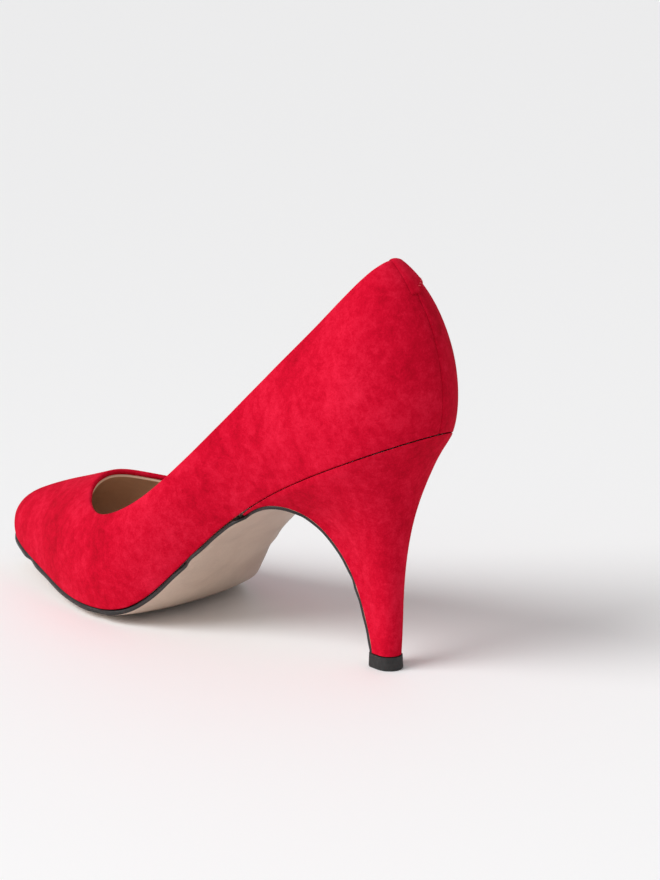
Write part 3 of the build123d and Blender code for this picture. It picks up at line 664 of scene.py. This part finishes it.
tab_line, tab_normals = [], []
for i in range(last, -1, -1):
    k = RINGS - 1 - i
    low = TAB_HIGH - TAB_FALL * seam_gap[i] / TAB_REACH - TAB_STITCH_IN
    p, n = along_row(walls[k], normals[k], [low])
    tab_line.append(p[0] + n[0] * STITCH_STAND)
    tab_normals.append(n[0])
STITCH_PITCH, STITCH_LENGTH, THREAD_RADIUS, STITCH_SLANT = 1.9 * MM, 1.3 * MM, 0.22 * MM, 0.35 * MM
stitch_run("tab_stitches", np.array(tab_line), np.array(tab_normals), STITCH_PITCH, STITCH_LENGTH,
           THREAD_RADIUS, STITCH_SLANT, THREAD)

# ---------------------------------------------------------------- sole, heel and the rest
def copy_of(node, name):
    """Object with its own copy of a CAD node's mesh."""
    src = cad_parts[node]
    obj = bpy.data.objects.new(name, src.data.copy())
    obj.data.materials.clear()
    bpy.context.scene.collection.objects.link(obj)
    return obj


def weld(obj):
    """Joins doubled points and smooths the faces."""
    bm = bmesh.new()
    bm.from_mesh(obj.data)
    bmesh.ops.remove_doubles(bm, verts=bm.verts, dist=WELD)
    bm.to_mesh(obj.data)
    bm.free()
    for poly in obj.data.polygons:
        poly.use_smooth = True


sole = copy_of("outsole", "sole_and_breast_flap")
weld(sole)
sole.data.materials.append(SOLE)
sole.data.materials.append(EDGE)
SIDEWAYS, UPRIGHT, FACING_UP = 0.6, 0.35, 0.5    # limits on a face's normal
for poly in sole.data.polygons:                  # the side walls, and the top before the waist, are inked
    n = poly.normal
    rim = abs(n.y) > SIDEWAYS or (poly.center.x > WAIST_X and abs(n.z) < UPRIGHT)
    top = n.z > FACING_UP and poly.center.x > WAIST_X
    poly.material_index = 1 if rim or top else 0
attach(sole, "root")
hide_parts("outsole")

cad_looks = {"heel_cover": RED, "heel_core": PALE, "top_lift": RUBBER, "sock_lining": LINING,
             "sock_foam": PALE, "front_insole": BOARD, "rear_insole": BOARD, "bottom_filler": BOARD,
             "heel_counter": PALE, "toe_puff": PALE, "outer_interlining": PALE, "inner_interlining": PALE}
for node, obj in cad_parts.items():
    look = cad_looks.get(node, STEEL)
    if not obj.data.materials:
        obj.data.materials.append(look)
    for k in range(len(obj.material_slots)):
        obj.material_slots[k].link = "OBJECT"
        obj.material_slots[k].material = look

# ---------------------------------------------------------------- floor, light and camera
FLOOR_HALF = 4.0
FLOOR_GAP = 0.05 * MM                   # floor below the lowest point of the shoe
WORLD_POWER = 0.46
SUN_POWER = 2.3
SUN_SPREAD = math.radians(40)
FILL_SIZE, FILL_POWER = 0.9, 0.8
floor_mesh = bpy.data.meshes.new("floor")
floor_mesh.from_pydata([(-FLOOR_HALF, -FLOOR_HALF, 0), (FLOOR_HALF, -FLOOR_HALF, 0),
                        (FLOOR_HALF, FLOOR_HALF, 0), (-FLOOR_HALF, FLOOR_HALF, 0)], [], [(0, 1, 2, 3)])
floor = bpy.data.objects.new("floor", floor_mesh)
floor.location.z = cad_box[0][2] - FLOOR_GAP
bpy.context.scene.collection.objects.link(floor)
floor_mat, _, _, floor_shader = new_material("white_sweep")
floor_shader.inputs["Base Color"].default_value = (0.95, 0.95, 0.955, 1)
floor_shader.inputs["Roughness"].default_value = 0.7
floor_mesh.materials.append(floor_mat)

world = bpy.data.worlds.new("studio")
bpy.context.scene.world = world
world.use_nodes = True
world.node_tree.nodes["Background"].inputs["Color"].default_value = (1, 1, 1, 1)
world.node_tree.nodes["Background"].inputs["Strength"].default_value = WORLD_POWER


def softbox(name, position, aim, size, power):
    """Round area light pointed at the aim."""
    data = bpy.data.lights.new(name, "AREA")
    data.shape = "DISK"
    data.size = size
    data.energy = power
    obj = bpy.data.objects.new(name, data)
    obj.location = position
    obj.rotation_euler = (Vector(aim) - Vector(position)).to_track_quat("-Z", "Y").to_euler()
    bpy.context.scene.collection.objects.link(obj)


AZIMUTH = math.radians(134.715)         # where the camera stands, from +X round to +Y
ELEVATION = math.radians(13.04)
TILT = math.radians(-0.71)
DISTANCE = 937.2 * MM
SHIFT_RIGHT = 42.9 * MM                 # aim point, measured in the picture plane from the foot
SHIFT_UP = 5.38 * MM
LENS = 106.96

toward = Vector((math.cos(ELEVATION) * math.cos(AZIMUTH), math.cos(ELEVATION) * math.sin(AZIMUTH),
                 math.sin(ELEVATION)))
right = (-toward).cross(Vector((0, 0, 1))).normalized()
up = right.cross(-toward)
foot_middle = Vector((0.17 * MM, CENTRE_Y, 60 * MM))
aim = foot_middle + right * SHIFT_RIGHT + up * SHIFT_UP
cam_data = bpy.data.cameras.new("camera")
cam_data.lens = LENS
cam_data.sensor_width = 36.0
cam_data.clip_start = 0.01
camera = bpy.data.objects.new("camera", cam_data)
turned_right = right * math.cos(TILT) + up * math.sin(TILT)
turned_up = -right * math.sin(TILT) + up * math.cos(TILT)
basis = Matrix((turned_right, turned_up, toward)).transposed()
camera.matrix_world = Matrix.Translation(aim + toward * DISTANCE) @ basis.to_4x4()
bpy.context.scene.collection.objects.link(camera)
bpy.context.scene.camera = camera
bpy.context.scene.view_settings.view_transform = "Standard"     # keeps the red saturated

side_left = -right
sun = bpy.data.lights.new("key", "SUN")
sun.energy = SUN_POWER
sun.angle = SUN_SPREAD
key = bpy.data.objects.new("key", sun)
key_from = toward * 0.40 + side_left * 0.95 + Vector((0, 0, 0.75))
key.rotation_euler = (-key_from).to_track_quat("-Z", "Y").to_euler()
bpy.context.scene.collection.objects.link(key)
fill_at = aim + toward * 0.6 + side_left * 0.3 + Vector((0, 0, 0.3))
softbox("fill", tuple(fill_at), tuple(aim), FILL_SIZE, FILL_POWER)
